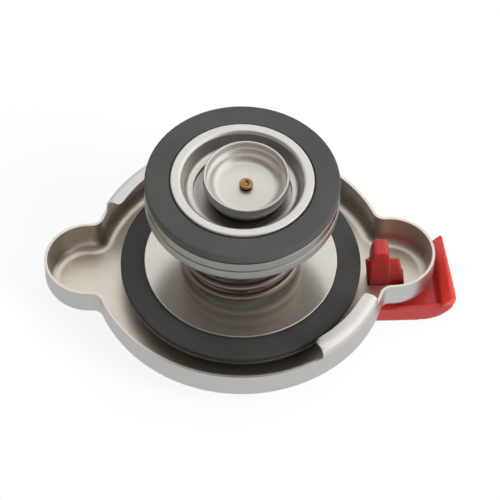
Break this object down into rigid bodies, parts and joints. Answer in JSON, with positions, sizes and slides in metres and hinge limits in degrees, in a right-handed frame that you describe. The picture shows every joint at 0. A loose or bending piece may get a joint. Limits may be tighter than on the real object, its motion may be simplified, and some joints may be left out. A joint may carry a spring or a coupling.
{
  "type": "radiator cap",
  "caption": "Pressed radiator cap with a sprung pressure valve, a small vacuum valve, rubber seals and a red safety lever whose hook comes up through one ear.",
  "frame": {"origin": "on the cap's axis at the lever's flat outer face, which the cap lies on", "axes": "+Z along the cap's axis towards the valve; +X towards the ear that the lever's hook comes through"},
  "size_m": [0.0828, 0.0598, 0.0386],
  "materials": {
    "cover_steel": "polished pressed stainless",
    "brushed_disc": "brushed",
    "pressed_steel": "satin",
    "pale_steel": "bright satin",
    "spring_steel": "drawn wire",
    "brass": "satin",
    "rubber": "matt",
    "red_plastic": "satin moulded"
  },
  "bodies": {
    "cover": {"cover_shell": "cover_steel", "centre_eyelet": "pressed_steel", "rod_seal": "rubber"},
    "swivel": {"diaphragm_disc": "pressed_steel", "neck_gasket": "rubber", "retainer_disc": "brushed_disc"},
    "rod": {"pull_rod": "pressed_steel", "lift_washer": "pressed_steel", "main_spring": "spring_steel"},
    "lever": {"safety_lever": "red_plastic", "pivot_pin": "pressed_steel"},
    "valve": {"pressure_plate": "pressed_steel", "pressure_seal": "rubber", "clamp_ring": "pale_steel", "spring_seat": "pressed_steel", "valve_cage": "pressed_steel", "vacuum_spring": "spring_steel"},
    "vacuum": {"vacuum_cup": "pale_steel", "vacuum_seal": "rubber", "vacuum_stem": "brass", "spring_keeper": "pressed_steel"}
  },
  "joints": [
    {"name": "disc_swivel", "type": "hinge", "parent": "cover", "child": "swivel", "pos_m": [0, 0, 0.0072], "axis": [0, 0, 1], "continuous": true},
    {"name": "rod_lift", "type": "slide", "parent": "cover", "child": "rod", "axis": [0, 0, -1], "range_m": [0, 0.0032], "stiffness_N_per_m": 1500, "springref_m": -0.003},
    {"name": "lever_swing", "type": "hinge", "parent": "rod", "child": "lever", "pos_m": [0, 0, 0.0022], "axis": [0, 1, 0], "range_deg": [0, 90]},
    {"name": "pressure_relief", "type": "slide", "parent": "rod", "child": "valve", "axis": [0, 0, -1], "range_m": [0, 0.003], "stiffness_N_per_m": 1500, "springref_m": -0.002, "deforming": ["main_spring"]},
    {"name": "vacuum_opening", "type": "slide", "parent": "valve", "child": "vacuum", "axis": [0, 0, 1], "range_m": [0, 0.001], "stiffness_N_per_m": 60, "springref_m": -0.003, "deforming": ["vacuum_spring"]}
  ],
  "couplings": [
    {"joint": "lever_swing", "follows": "rod_lift", "rad_per_m": 490.87}
  ]
}
